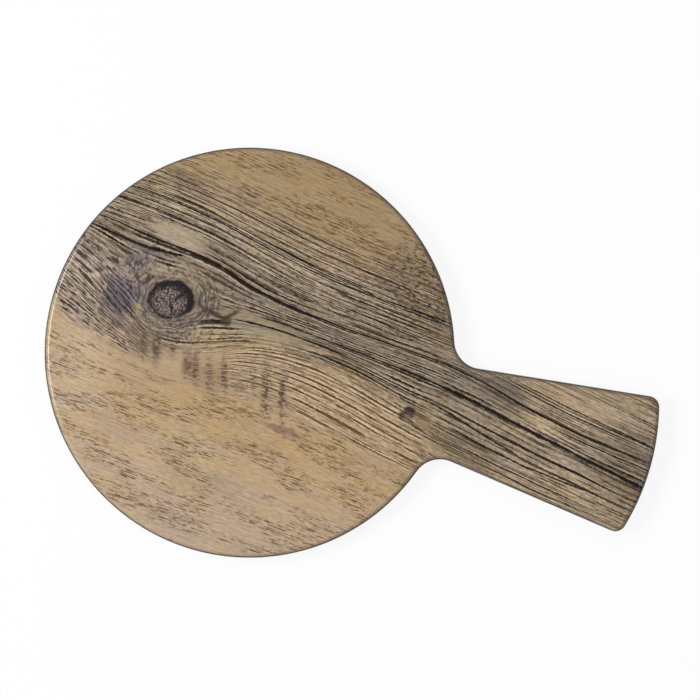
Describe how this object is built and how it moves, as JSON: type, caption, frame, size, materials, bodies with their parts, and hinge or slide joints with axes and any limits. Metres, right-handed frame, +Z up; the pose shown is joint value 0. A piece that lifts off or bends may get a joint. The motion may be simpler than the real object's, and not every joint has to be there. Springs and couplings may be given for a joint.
{
  "type": "serving board",
  "caption": "Round melamine serving board with a flared paddle handle, a pressed wood-grain print that wraps its rounded edge, a hollow underside and rubber feet.",
  "frame": {"origin": "middle of the board's footprint, on the table that its feet stand on", "axes": "+X along the handle, from the disc towards the butt end; +Z up, out of the serving face"},
  "size_m": [0.379, 0.2498, 0.015],
  "materials": {
    "melamine": "satin",
    "decor": "wood-grain print",
    "overlay": "satin",
    "rubber": "matte",
    "tape": "matte"
  },
  "bodies": {
    "root": {"board_moulding": "melamine", "decor_sheet": "decor", "clear_overlay": "overlay", "foot_1": "rubber", "foot_2": "rubber", "foot_3": "rubber", "foot_4": "rubber", "foot_5": "rubber", "foot_tape_1": "tape", "foot_tape_2": "tape", "foot_tape_3": "tape", "foot_tape_4": "tape", "foot_tape_5": "tape"}
  },
  "joints": []
}
